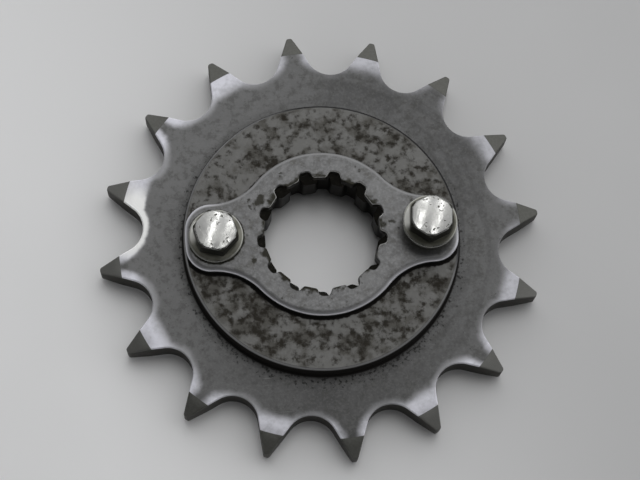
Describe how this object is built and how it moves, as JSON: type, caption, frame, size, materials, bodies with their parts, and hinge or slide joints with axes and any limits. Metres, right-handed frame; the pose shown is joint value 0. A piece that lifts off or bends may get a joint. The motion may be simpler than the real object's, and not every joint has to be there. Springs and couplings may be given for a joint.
{
  "type": "motorcycle chain sprocket with retaining plate",
  "caption": "Toothed steel chain sprocket with a raised splined hub, a two-eared splined locking plate and flange bolts that hold it.",
  "frame": {"origin": "on the bore axis at the back face of the toothed disc, which is the bottom of the object's box", "axes": "+Z along the bore axis and out of the front, +X from the axis to the right-hand bolt, which is the one screwed partly out"},
  "size_m": [0.0884, 0.0884, 0.0193],
  "materials": {
    "sprocket_steel": "dull grey steel, worn bright beside the chain, with brown rust pits on the hub",
    "plate_steel": "satin pressed steel with bright rounded edges",
    "bolt_plating": "bright plating, slightly stained"
  },
  "bodies": {
    "sprocket": {"sprocket": "sprocket_steel"},
    "retaining_plate": {"retaining_plate": "plate_steel"},
    "bolt_left": {"bolt_left": "bolt_plating"},
    "bolt_right": {"bolt_right": "bolt_plating"}
  },
  "joints": [
    {"name": "plate_lift", "type": "slide", "parent": "sprocket", "child": "retaining_plate", "axis": [0, 0, 1], "range_m": [0, 0.012]},
    {"name": "bolt_left_unscrew", "type": "slide", "parent": "retaining_plate", "child": "bolt_left", "axis": [0, 0, 1], "range_m": [0, 0.0082]},
    {"name": "bolt_right_unscrew", "type": "slide", "parent": "retaining_plate", "child": "bolt_right", "axis": [0, 0, 1], "range_m": [-0.0034, 0.0048]}
  ]
}
